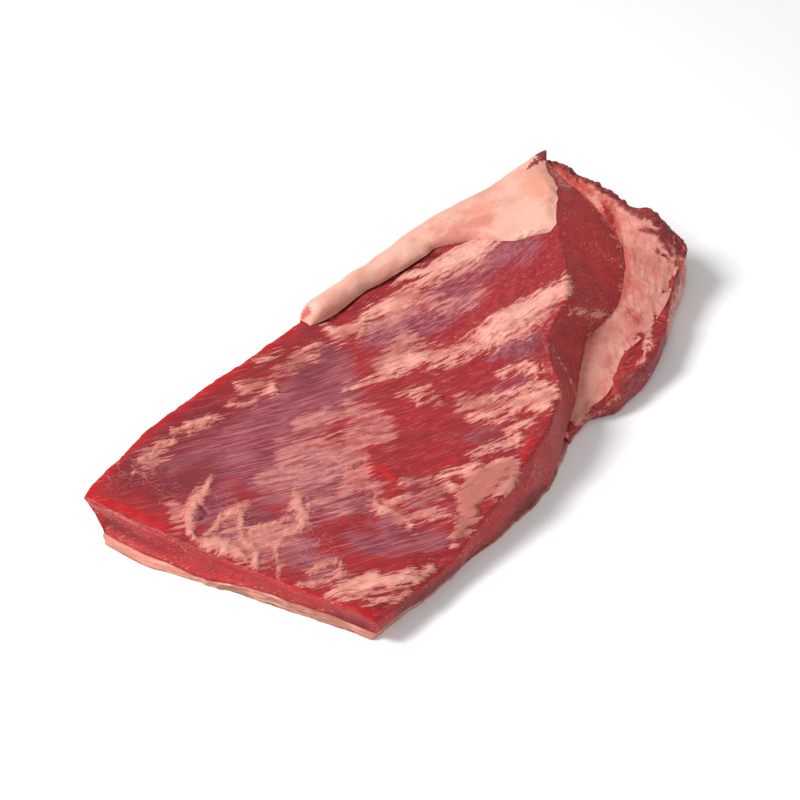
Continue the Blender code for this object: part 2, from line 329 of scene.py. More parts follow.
def edge_thickness(u, s):
    """Round roll along the edge, thin sheet further in, thin again at the foot of the wall."""
    inner = edge_base(u, np.zeros_like(s))
    rim = edge_base(u, np.full_like(s, ROLL_SHARE_TOP))
    spot = edge_base(u, s)
    roll = smooth(ROLL_THICK, u)
    width = np.minimum(np.linalg.norm(rim - inner, axis=-1), smooth(ROLL_WIDTH, u))
    inwards = np.clip(np.linalg.norm(rim - spot, axis=-1) / width, 0, 1)
    down = down_wall(s)
    sheet = SHEET_THICK * ease(np.linalg.norm(spot - inner, axis=-1) / SHEET_TAPER)
    on_top = sheet + (roll - sheet) * np.sqrt(1 - inwards ** ROLL_FULLNESS)
    on_wall = SHEET_THICK + (roll - SHEET_THICK) * (1 - down ** 2)
    on_wall = on_wall * (WALL_THIN + (1 - WALL_THIN) * ease((1 - down) / WALL_THIN_REACH))
    blunt = np.sqrt(np.clip((u - ROLL_START) / ROLL_BLUNT, ROLL_LEAST, 1))
    blunt = blunt * np.sqrt(np.clip((1 - u) / SHEET_BLUNT, SHEET_LEAST, 1))
    return np.where(s <= ROLL_SHARE_TOP, on_top, on_wall) * blunt


def edge_place(t, s, w):
    """The fat over the far edge: a curved shell on the flat and down the far wall."""
    u = ROLL_START + (1 - ROLL_START) * t
    along = edge_base(np.minimum(u + STEP_ALONG, 1), s) - edge_base(np.maximum(u - STEP_ALONG, ROLL_START), s)
    across = edge_base(u, np.clip(s + STEP_ACROSS, 0, 1)) - edge_base(u, np.clip(s - STEP_ACROSS, 0, 1))
    normal = np.cross(along, across)
    normal /= np.linalg.norm(normal, axis=-1)[:, None]
    base = edge_base(u, s)
    from_rim = np.linalg.norm(base - edge_base(u, np.full_like(s, ROLL_SHARE_TOP)), axis=-1)
    tip = np.clip((u - TIP_FROM) / TIP_REACH, 0, 1) ** TIP_CURVE * np.exp(-(from_rim / TIP_SIZE) ** 2) * w
    return base + normal * (ROLL_GAP + edge_thickness(u, s) * w)[:, None] + tip[:, None] * TIP


def box_skin(nu, nv, nw, stride=1):
    """Lattice spots and outward faces of the skin of a unit box; the underside takes every stride-th line."""
    index = {}
    faces = []

    def corner(i, j, k):
        return index.setdefault((i, j, k), len(index))

    for i in range(nu):
        for j in range(nv):
            ring = [corner(i, j, nw), corner(i + 1, j, nw), corner(i + 1, j + 1, nw), corner(i, j + 1, nw)]
            faces.append(ring)
        for j in range(0, nv, stride):
            after = min(j + stride, nv)
            front = range(j, after + 1) if i == 0 else (j, after)
            back = range(after, j - 1, -1) if i == nu - 1 else (after, j)
            faces.append([corner(i, m, 0) for m in front] + [corner(i + 1, m, 0) for m in back])
        for k in range(nw):
            for j, turn in ((0, 1), (nv, -1)):
                ring = [corner(i, j, k), corner(i + 1, j, k), corner(i + 1, j, k + 1), corner(i, j, k + 1)]
                faces.append(ring[::turn])
    for j in range(nv):
        for k in range(nw):
            for i, turn in ((nu, 1), (0, -1)):
                ring = [corner(i, j, k), corner(i, j + 1, k), corner(i, j + 1, k + 1), corner(i, j, k + 1)]
                faces.append(ring[::turn])
    spots = np.array(list(index), float) / (nu, nv, nw)
    return spots, faces


def edge_pairs(faces):
    """Every edge of the faces, as two arrays of vertex numbers."""
    starts = np.concatenate(faces)
    ends = np.concatenate([face[1:] + face[:1] for face in faces])
    return starts, ends


def relax(points, faces, rounds, share=0.5):
    """Round off sharp edges: each vertex moves towards the middle of its neighbours."""
    starts, ends = edge_pairs(faces)
    count = np.bincount(starts, minlength=len(points))[:, None]
    for _ in range(rounds):
        total = np.stack([np.bincount(starts, points[ends, axis], len(points)) for axis in range(3)], -1)
        points = points + (total / count - points) * share
    return points


def vertex_normals(points, faces):
    quads = np.array([[face[0], face[1], face[2], face[-1]] for face in faces])
    normal = np.cross(points[quads[:, 2]] - points[quads[:, 0]], points[quads[:, 3]] - points[quads[:, 1]])
    total = np.zeros_like(points)
    for side in range(4):
        for axis in range(3):
            total[:, axis] += np.bincount(quads[:, side], normal[:, axis], len(points))
    return total / np.maximum(np.linalg.norm(total, axis=-1), 1e-9)[:, None]


def lattice_noise(points, seed):
    """Smooth random field from -1 to 1 that changes over about one unit."""
    cell = np.floor(points).astype(np.int64)
    t = points - cell
    t = t * t * (3 - 2 * t)
    total = np.zeros(len(points))
    for dx in (0, 1):
        for dy in (0, 1):
            for dz in (0, 1):
                mixed = (cell[:, 0] + dx) * 73856093 ^ (cell[:, 1] + dy) * 19349663
                mixed = mixed ^ (cell[:, 2] + dz) * 83492791 ^ seed * 2654435
                mixed = (mixed ^ (mixed >> 13)) * 1274126177
                value = ((mixed ^ (mixed >> 16)) & 0xFFFF) / 32767.5 - 1
                weight = np.abs(1 - dx - t[:, 0]) * np.abs(1 - dy - t[:, 1]) * np.abs(1 - dz - t[:, 2])
                total += value * weight
    return total


def layered_noise(points, size, seed, layers=3):
    """Sum of ever finer noise. The size is the width in millimetres of its largest features, per axis or
    for all."""
    total = 0
    for layer in range(layers):
        total = total + lattice_noise(points * 2 ** layer / size + 17.3 * layer, seed + layer) / 2 ** layer
    return total


def sway(points):
    """Points shifted by a slow noise that is the same for every piece and keeps the foot level."""
    shift = np.stack([layered_noise(points, SWAY_SIZE, seed, 2) for seed in (101, 102, 103)], -1) * SWAY
    shift[:, 2] *= ease(points[:, 2] / FOOT_HEIGHT)
    return points + shift


def view_axes():
    """Unit vectors of the photo's view: towards the camera, to its right and up."""
    bearing = np.radians(VIEW_BEARING)
    height = np.radians(VIEW_HEIGHT)
    back = np.array([np.sin(bearing) * np.cos(height), -np.cos(bearing) * np.cos(height), np.sin(height)])
    right = np.array([np.cos(bearing), np.sin(bearing), 0.0])
    return back, right, np.cross(back, right)


def picture_spots(points):
    """Where layout points appear in the photo's view, in pixels."""
    back, right, up = view_axes()
    from_camera = points - (VIEW_TARGET + back * VIEW_DISTANCE / MM)
    depth = -(from_camera @ back)
    x = VIEW_PIXELS / 2 + FOCAL_PIXELS * (from_camera @ right) / depth
    y = VIEW_PIXELS / 2 - FOCAL_PIXELS * (from_camera @ up) / depth
    return np.stack([x, y], -1)


def grain_space(points):
    """Points with the grain laid along X: their second coordinate is constant on a line of the grain."""
    steps = np.linspace(GRAIN_FROM, GRAIN_TO, GRAIN_STEPS)
    slope = np.tan(np.radians(smooth(GRAIN_TURN, steps)))
    drift = np.concatenate([[0], np.cumsum(slope[:-1] * np.diff(steps))])
    across = points[:, 1] - np.interp(points[:, 0], steps, drift)
    return np.stack([points[:, 0], across, points[:, 2]], -1)


def sheared(points, slope):
    """Points moved across by the slope times their distance along."""
    return np.stack([points[:, 0], points[:, 1] - slope * points[:, 0], points[:, 2]], -1)


def stroke_field(spots, strokes):
    """Largest of half-width minus distance over painted strokes of (x, y, half-width) points."""
    best = np.full(len(spots), NO_PAINT)
    for stroke in strokes:
        knots = np.array(stroke, float)
        if len(knots) == 1:
            knots = np.concatenate([knots, knots + (DOT_LENGTH, 0, 0)])
        for start, end in zip(knots[:-1], knots[1:]):
            line = end[:2] - start[:2]
            t = np.clip(((spots - start[:2]) @ line) / (line @ line), 0, 1)
            distance = np.linalg.norm(spots - start[:2] - t[:, None] * line, axis=-1)
            best = np.maximum(best, start[2] + (end[2] - start[2]) * t - distance)
    return best


NO_PAINT = -999.0
DOT_LENGTH = 0.01

# Paint on the top of the flat, as strokes of (x, y, half-width) in the photo's view
TOP_PAINT = {
    "fat": [
        [(211, 477, 1), (204, 492, 6), (196, 500, 5), (188, 512, 5), (190, 530, 3), (194, 538, 2)],
        [(197, 542, 1), (212, 532, 2.5), (226, 520, 1.5), (243, 505, 1)],
        [(222, 519, 3), (230, 514, 5), (240, 509, 4)],
        [(202, 543, 5), (218, 545, 8), (234, 550, 8), (243, 556, 3)],
        [(246, 504, 1), (241, 520, 1.5), (240, 532, 3), (246, 545, 1.5)],
        [(252, 546, 2), (257, 552, 5), (255, 567, 2)],
        [(260, 549, 2), (274, 544, 1)],
        [(281, 533, 0.5), (277, 548, 1), (279, 577, 0.8)],
        [(298, 494, 3), (296, 507, 6), (304, 515, 5), (300, 526, 5), (286, 534, 3), (272, 545, 1)],
        [(308, 500, 1), (309, 522, 1)],
        [(250, 532, 1.5), (264, 527, 2.5), (277, 524, 2.5), (290, 519, 1.5)],
        [(237, 387, 2), (250, 389, 6), (262, 384, 3)],
        [(264, 390, 2), (272, 388, 6), (277, 392, 2)],
        [(230, 405, 1), (246, 404, 2), (256, 402, 1)],
        [(174, 431, 1), (192, 425, 3), (209, 419, 3), (223, 417, 0.5)],
        [(188, 432, 0.5), (206, 428, 1)],
        [(134, 472, 0.5), (146, 455, 1), (162, 444, 2), (174, 441, 1.5)],
        [(270, 376, 0.5), (284, 368, 2), (297, 362, 2), (312, 357, 0.5)],
        [(294, 356, 0.5), (305, 352, 2), (318, 344, 1)],
        [(256, 362, 0.5), (266, 358, 1.5), (281, 351, 0.5)],
        [(328, 329, 1.5), (336, 336, 3.5), (346, 332, 4), (356, 328, 4), (363, 322, 3.5), (367, 314, 4)],
        [(367, 317, 3), (374, 310, 6), (388, 307, 9), (404, 301, 9), (418, 293, 4)],
        [(363, 330, 3), (360, 338, 1.5)],
        [(395, 282, 1), (410, 276, 3), (430, 270, 5), (450, 262, 8), (470, 253, 10), (486, 243, 10),
         (500, 228, 8)],
        [(405, 287, 0.5), (425, 281, 2), (445, 272, 3), (462, 264, 3)],
        [(420, 286, 0.5), (440, 279, 1)],
        [(455, 268, 1), (470, 258, 1.5), (488, 247, 1.5)],
        [(566, 284, 6), (560, 292, 9), (528, 308, 9), (512, 316, 8), (497, 324, 9), (486, 333, 8),
         (480, 345, 4), (465, 352, 4), (430, 359, 4), (410, 361, 8), (396, 366, 8), (382, 373, 4),
         (368, 381, 2), (345, 390, 0.5)],
        [(540, 322, 3), (520, 328, 3), (505, 335, 5), (492, 345, 4), (480, 350, 3)],
        [(395, 348, 4), (408, 346, 5), (420, 343, 2)],
        [(430, 367, 2), (450, 362, 1.5), (470, 356, 0.5)],
        [(500, 375, 1), (515, 371, 3), (530, 366, 5), (538, 372, 4), (536, 380, 2)],
        [(430, 386, 1), (415, 391, 1.5), (395, 396, 0.5)],
        [(554, 392, 7), (546, 400, 10), (532, 401, 9), (519, 404, 6), (503, 409, 4), (488, 414, 2.5),
         (472, 416, 0.5)],
        [(546, 384, 4), (530, 388, 3), (514, 392, 2.5), (494, 396, 1)],
        [(490, 404, 1.5), (476, 404, 2.5), (460, 402, 1.5)],
        [(440, 398, 1.5), (424, 396, 3), (418, 402, 1.5)],
        [(470, 421, 0.5), (500, 421, 1), (520, 418, 0.5)],
        [(509, 433, 2), (518, 428, 4), (531, 424, 3)],
        [(519, 436, 3), (518, 446, 1)],
        [(476, 455, 3), (488, 450, 3.5), (500, 447, 1.5), (512, 443, 0.5)],
        [(510, 466, 5), (500, 470, 9), (490, 480, 13), (474, 492, 12), (466, 505, 10), (470, 515, 9),
         (462, 527, 7), (456, 537, 3), (453, 546, 1.5)],
        [(500, 465, 4), (516, 468, 5), (512, 480, 6), (505, 488, 8), (495, 495, 6)],
        [(480, 468, 4), (460, 474, 4), (440, 478, 3), (420, 481, 1.5), (402, 484, 0.5)],
        [(450, 486, 5), (440, 492, 2), (420, 498, 2), (400, 500, 2), (385, 503, 1)],
        [(372, 500, 2), (380, 508, 3), (395, 512, 2), (405, 520, 4), (412, 527, 3)],
        [(400, 522, 3), (420, 519, 1.5), (440, 516, 1.5), (456, 516, 2)],
        [(327, 597, 1), (338, 592, 5), (352, 588, 9), (368, 585, 10), (384, 584, 8), (400, 581, 8),
         (414, 579, 8), (425, 573, 3.5), (434, 565, 1.5)],
        [(345, 598, 1.5), (360, 601, 3.5), (378, 600, 2.5), (398, 597, 2.5), (408, 590, 3)],
        [(336, 560, 0.5), (322, 566, 1.5), (308, 571, 0.5)],
        [(341, 562, 1), (340, 575, 1.5), (332, 583, 1.5)],
        [(300, 585, 1.5), (315, 582, 1), (330, 580, 0.5)],
    ],
    "murky": [
        [(130, 475, 16), (170, 450, 18), (205, 420, 16), (250, 400, 10)],
        [(165, 490, 16), (210, 470, 14), (200, 500, 12)],
        [(215, 530, 8), (260, 520, 10)],
        [(310, 330, 8), (330, 310, 8), (370, 300, 6)],
        [(330, 350, 12), (300, 385, 10)],
        [(510, 350, 10), (545, 345, 8)],
    ],
    "dull": [
        [(510, 470, 10), (488, 482, 16), (474, 496, 16), (468, 512, 14), (460, 532, 9)],
        [(415, 480, 8), (440, 492, 8), (400, 515, 10)],
        [(250, 388, 8), (300, 360, 8)],
        [(345, 335, 6), (400, 350, 8)],
        [(400, 298, 6), (412, 296, 4)],
        [(476, 404, 6), (460, 403, 5), (424, 397, 5)],
        [(553, 396, 3), (535, 402, 3), (515, 404, 2)],
    ],
    "white": [
        [(410, 276, 3), (430, 270, 6), (450, 262, 9), (470, 252, 11), (488, 242, 11), (500, 230, 8)],
        [(372, 312, 5), (384, 308, 6)],
        [(546, 300, 6), (520, 318, 6), (497, 333, 7), (484, 343, 4)],
    ],
    "web": [
        [(120, 478, 16), (150, 462, 16), (170, 495, 14)],
        [(225, 495, 10), (245, 530, 14), (275, 560, 10)],
        [(290, 520, 14), (320, 545, 14), (300, 565, 10)],
        [(330, 470, 14), (355, 490, 12)],
        [(360, 330, 14), (400, 325, 10)],
        [(545, 335, 10), (555, 370, 8)],
    ],
    "hole": [
        [(402, 493, 2), (420, 489, 5), (438, 485, 3)],
        [(372, 495, 1.5), (372, 504, 1.5)],
        [(378, 590, 1.5), (386, 589, 2)],
    ],
    "haze": [
        [(262, 482, 8), (280, 478, 12), (300, 474, 14), (325, 478, 12)],
        [(285, 450, 8), (300, 448, 12), (330, 452, 18), (355, 466, 16), (345, 490, 8)],
        [(345, 412, 8), (368, 420, 15), (382, 430, 14), (352, 440, 14)],
        [(300, 425, 6), (330, 415, 6)],
        [(230, 545, 10), (262, 560, 8)],
        [(225, 528, 4), (248, 538, 7), (275, 536, 8), (300, 545, 6)],
        [(356, 478, 12), (374, 486, 10)],
        [(405, 345, 12), (378, 370, 7)],
        [(148, 462, 8), (160, 450, 7)],
        [(175, 505, 4), (178, 525, 4)],
        [(320, 500, 5), (345, 508, 4)],
        [(440, 515, 5), (400, 515, 5)],
        [(560, 300, 8), (520, 325, 14), (480, 340, 12)],
        [(545, 395, 12), (500, 405, 9), (460, 404, 6)],
        [(430, 300, 9), (400, 310, 9), (370, 325, 7)],
        [(480, 258, 8), (440, 275, 5)],
        [(442, 308, 6), (468, 300, 7), (485, 292, 4)],
    ],
    "skin": [
        [(180, 470, 22), (240, 450, 34), (300, 410, 28), (340, 390, 20)],
        [(215, 505, 24), (240, 530, 22), (300, 550, 20)],
        [(260, 480, 20), (330, 470, 20), (300, 520, 14)],
        [(380, 335, 16), (430, 322, 14), (465, 300, 12)],
        [(440, 290, 14), (480, 265, 16), (530, 245, 10)],
        [(330, 365, 20), (300, 380, 18)],
        [(500, 352, 12), (530, 345, 8)],
        [(330, 500, 16), (370, 505, 12), (400, 540, 12), (440, 540, 12)],
        [(480, 440, 12), (510, 440, 8)],
        [(320, 570, 12), (345, 575, 8)],
        [(350, 535, 10), (375, 546, 12), (405, 540, 10)],
        [(420, 490, 14), (440, 508, 12)],
        [(520, 386, 6), (490, 394, 5)],
    ],
    "bare": [
        [(400, 456, 3), (412, 440, 14), (420, 420, 16), (440, 412, 12), (455, 407, 4)],
        [(420, 440, 18), (445, 432, 14), (470, 427, 3)],
        [(370, 464, 2), (395, 458, 5), (420, 454, 9), (450, 450, 10), (478, 444, 4)],
        [(412, 470, 5), (435, 466, 7), (455, 460, 3)],
        [(560, 258, 6), (545, 268, 8), (530, 280, 10), (512, 292, 9), (498, 300, 6), (482, 306, 3)],
        [(500, 313, 3), (480, 320, 4), (465, 328, 4), (452, 338, 3)],
        [(477, 334, 5), (455, 345, 4), (440, 350, 2)],
        [(508, 364, 3), (490, 370, 8), (470, 376, 9), (450, 384, 7), (438, 391, 4)],
        [(365, 399, 1.5), (390, 395, 3), (415, 393, 2)],
        [(318, 532, 5), (332, 526, 6), (350, 520, 5), (375, 518, 2)],
        [(350, 566, 5), (375, 568, 7), (400, 566, 6), (428, 559, 4), (450, 550, 4)],
        [(345, 558, 5), (395, 562, 5)],
        [(350, 298, 6), (385, 285, 4), (430, 272, 2)],
        [(345, 310, 6), (330, 318, 4)],
        [(420, 500, 4), (445, 505, 4)],
        [(525, 440, 8), (532, 425, 4)],
        [(150, 530, 6), (180, 545, 5), (230, 568, 5)],
    ],
    "bright": [
        [(88, 495, 4), (105, 475, 4), (130, 448, 3.5), (165, 418, 3), (200, 394, 3.5), (232, 373, 4),
         (262, 352, 3), (290, 332, 3), (306, 316, 5)],
        [(92, 498, 4), (115, 505, 5), (140, 516, 5), (165, 528, 4)],
        [(230, 567, 3), (260, 578, 4), (290, 589, 5), (320, 600, 4), (350, 610, 4), (372, 616, 7)],
        [(350, 474, 4), (366, 468, 5), (382, 470, 4), (395, 478, 3)],
        [(570, 305, 6), (563, 315, 4)],
        [(440, 466, 1), (456, 461, 2)],
        [(530, 440, 3), (524, 460, 3), (520, 470, 2)],
    ],
    # Painted shade: dark lines in the groove under the fat roll's lower border and in a few small hollows
    "crease_shade": [
        [(310, 320, 1.5), (332, 320, 2), (341, 312, 2), (359, 292, 2), (381, 284, 2), (401, 272, 2.5),
         (416, 264, 3), (431, 256, 2), (440, 252, 1)],
        [(355, 466, 2), (362, 462, 1.5)],
        [(373, 492, 1.5), (371, 502, 1.5)],
        [(199, 504, 1), (206, 512, 1.5), (200, 520, 1)],
    ],
    "deep": [
        # This stroke is painted shade: a darker band beside the groove under the fat roll's overhang
        [(318, 318, 5), (345, 312, 6), (362, 298, 5), (400, 286, 4), (440, 252, 4)],
        [(135, 482, 12), (170, 485, 12), (205, 468, 10)],
        [(205, 400, 7), (235, 385, 6), (300, 345, 8)],
        [(120, 470, 6), (180, 425, 5), (215, 408, 5)],
        [(400, 470, 3), (425, 470, 7), (445, 466, 5)],
        [(482, 438, 4), (505, 438, 6), (515, 442, 3)],
        [(345, 568, 5), (380, 572, 6), (415, 566, 5)],
        [(402, 492, 3), (420, 488, 6), (442, 486, 4)],
        [(462, 462, 2), (490, 458, 3), (518, 458, 3)],
        [(330, 300, 4), (360, 300, 5)],
    ],
    "scraps": [
        [(120, 480, 14), (150, 450, 14), (200, 420, 12)],
        [(175, 500, 16), (180, 535, 14)],
        [(230, 540, 22), (300, 560, 22), (340, 575, 18)],
        [(280, 370, 16), (330, 350, 20), (380, 320, 20), (430, 290, 16), (480, 250, 12)],
        [(300, 500, 18), (380, 510, 22), (430, 500, 18)],
        [(440, 410, 14), (500, 395, 16), (540, 390, 12)],
        [(420, 350, 20), (480, 340, 18), (530, 320, 14)],
        [(480, 450, 14), (515, 435, 14)],
        [(260, 480, 14), (330, 450, 20), (370, 480, 14)],
        [(345, 415, 14), (372, 425, 22), (355, 440, 16)],
    ],
}
# Paint on the walls of the flat, and on the seam fat and the point around its thick end
END_PAINT = {
    "fat": [
        [(555, 166, 4), (564, 176, 5), (570, 184, 2)],
        [(690, 262, 8), (686, 285, 9), (681, 305, 8), (673, 322, 5), (668, 335, 1)],
        [(645, 342, 4), (640, 358, 4), (630, 372, 2)],
        [(598, 402, 3), (610, 397, 2)],
        [(588, 416, 2), (600, 410, 1.5)],
        [(624, 378, 1), (640, 368, 1.5)],
        [(570, 311, 0.5), (586, 314, 1.5), (604, 314, 1)],
        [(617, 396, 1), (606, 404, 2), (596, 408, 1)],
    ],
    "orange": [
        [(553, 166, 5), (562, 176, 8), (578, 183, 6), (590, 192, 4), (606, 206, 6), (613, 221, 5),
         (619, 232, 2)],
        [(563, 172, 6), (568, 182, 5)],
        [(681, 268, 4), (684, 280, 4)],
        [(574, 288, 3), (562, 296, 4)],
        [(628, 310, 3), (640, 322, 3)],
    ],
    # Painted shade: darker cut walls under the front lip, low on the front face and along the near wall,
    # where they lie in shade
    "wall_shade": [
        [(108, 522, 4), (135, 538, 3), (160, 548, 1)],
        [(330, 618, 5), (365, 628, 5)],
        [(405, 610, 7), (450, 583, 9), (500, 545, 10), (540, 500, 12)],
    ],
    "pale": [
        [(103, 508, 0), (120, 516, 0.6), (140, 528, 0.6), (160, 535, 0.2)],
        [(596, 199, 4), (598, 205, 4)],
        # This stroke is painted light: paler fat down the lower seam fat, which lies in shade
        [(602, 348, 5), (590, 385, 7), (576, 422, 5)],
        [(636, 224, 3), (646, 222, 2), (656, 228, 2)],
        [(644, 237, 2), (655, 238, 2)],
        [(646, 300, 1.5), (649, 322, 1.5), (650, 348, 1.5)],
    ],
    "purple": [
        [(545, 156, 4), (552, 163, 4), (562, 169, 3.5), (576, 175, 3.5), (595, 184, 4), (612, 193, 5),
         (625, 201, 7), (645, 209, 12), (662, 219, 13), (677, 236, 12), (684, 252, 7)],
        [(648, 228, 4), (662, 238, 4), (672, 254, 3)],
        [(676, 262, 3), (677, 284, 2)],
        [(650, 366, 8), (636, 374, 9), (620, 386, 5)],
        [(641, 228, 3), (650, 232, 3)],
    ],
    "red": [
        [(200, 552, 3), (230, 564, 4), (270, 581, 5), (330, 605, 4)],
        [(603, 204, 2), (611, 220, 3), (615, 235, 1)],
        [(655, 312, 1), (659, 328, 6), (658, 350, 5), (654, 368, 4)],
        [(664, 290, 1), (667, 306, 2)],
        [(640, 338, 4), (636, 355, 6), (628, 366, 5)],
        [(563, 296, 5), (570, 308, 5)],
        [(655, 250, 1.5), (672, 262, 1.5)],
        [(609, 395, 5), (590, 410, 6)],
        [(645, 385, 5), (655, 370, 5)],
    ],
}
CAP_PAINT = {"pale": [[(100, 543, 8), (150, 562, 8), (190, 575, 4)]]}
ROLL_PAINT = {
    "shade": [
        [(428, 248, 2), (442, 240, 8), (458, 232, 10), (474, 225, 9), (488, 217, 6)],
        [(330, 318, 1), (372, 292, 0.5), (410, 266, 0.5)],
    ],
    "orange": [
        [(535, 186, 9), (548, 180, 6)],
        [(520, 172, 3), (540, 170, 3)],
        [(478, 214, 3), (492, 206, 4)],
    ],
    "pale": [[(502, 236, 6), (512, 222, 14), (530, 208, 12), (546, 214, 8)], [(510, 190, 6), (490, 196, 4)]],
    "purple": [[(527, 168, 0.5), (538, 160, 3), (546, 153, 6), (552, 162, 3)]],
    "red": [[(302, 316, 3), (309, 310, 3)]],
}
# Reach of a painted field and how far the fat spreads past its strokes, in pixels
REACH = 16.0
FAT_SPREAD = 2.0
# Fringe of fat, height of the crags on the rim, and widths of the painted borders, in millimetres
FRINGE = -0.5
RIM_CRAGS = 1.6
BORDER = 4.0
WALL_BORDER = 3.0
TIP_DARK = 10.0
RIM_DARK = 2.0
# How far the red of the flat's end wall bleeds into the fat beside it, as (x, mm)
STAIN_REACH = [(60, -16), (150, -2), (200, -0.5), (240, 1.5), (285, 5)]
UNSEEN_FROM = 0.25
LOOSE_FROM = -70.0
LOOSE_REACH = 60.0
LOOSE_NEAR = -108.0
LOOSE_NEAR_REACH = 40.0
STRAND_SLOPE = 0.37
LOOSE_CALM = 0.55
# How the relief of the top fades in over the height, and how sharply the walls' paint ends below the top
TOP_FADE = (0.8, 0.2)
WALL_SHARPNESS = 12
# Where the flat's thick end begins along the length, and how far right in the photo's view its front
# left corner reaches, in pixels
THICK_END = 95
THICK_END_FADE = 20
FRONT_LEFT = 200
# Shares of the length between which the sheet's inner border is stained, and where its tip is looked for
BORDER_START = (0.82, 0.02)
BORDER_END = (0.88, 0.03)
RIM_BAND = 0.03
# Where the crags of the rim fade in across, along, at the end and up the height, as (start, length)
CRAGS_ACROSS = (0.9, 0.1)
CRAGS_ALONG = (0.5, 0.3)
CRAGS_END = (0.94, 0.05)
CRAGS_UP = (0.4, 0.6)
TIP_SEARCH = 0.98


def colour(red, green, blue):
    """Linear colour of 0 to 255 display values."""
    shown = np.array([red, green, blue]) / 255
    return tuple(np.where(shown <= 0.04045, shown / 12.92, ((shown + 0.055) / 1.055) ** 2.4)) + (1.0,)


MUSCLE = colour(156, 36, 41)
MUSCLE_DARK = colour(128, 32, 38)
MUSCLE_PALE = colour(184, 86, 82)
BRIGHT = colour(178, 25, 27)
POINT_MEAT = colour(182, 56, 55)
SKIN = colour(120, 44, 58)
SKIN_PALE = colour(162, 88, 98)
HAZE = colour(202, 130, 121)
HAZE_MAUVE = colour(166, 98, 104)
FAT = colour(218, 140, 124)
FAT_PALE = colour(234, 180, 164)
FAT_PINK = colour(198, 109, 98)
WHITE_FAT = colour(228, 176, 160)
SEAM = colour(222, 158, 143)
SEAM_PINK = colour(206, 120, 108)
ROLL = colour(222, 172, 153)
ROLL_PINK = colour(214, 149, 131)
ROLL_WHITE = colour(224, 170, 152)
ROLL_ORANGE = colour(222, 146, 120)
ORANGE = colour(184, 66, 54)
PURPLE = colour(132, 44, 46)
PURPLE_PALE = colour(144, 58, 56)
CUT = colour(188, 46, 48)
CUT_DARK = colour(134, 32, 37)
CAP = colour(196, 128, 108)
CAP_DULL = colour(154, 98, 80)
CAP_LINE = colour(130, 84, 66)
# Painted shade for the groove under the fat roll
CREASE_SHADE_TONE = colour(84, 20, 24)
HAIR = colour(206, 120, 116)
FAT_DULL = colour(180, 104, 93)
FAT_WHITE = colour(228, 174, 158)
EMBER = colour(192, 92, 78)
# Painted shade on the cut walls
WALL_SHADE_TONE = colour(114, 28, 34)
# Pale fat around the thick end, also used as painted light on the shaded lower seam fat
SKIN_DEEP = colour(104, 34, 46)
END_PALE_AND_PAINTED_LIGHT = colour(212, 148, 132)
ROLL_SHADE = colour(200, 124, 110)


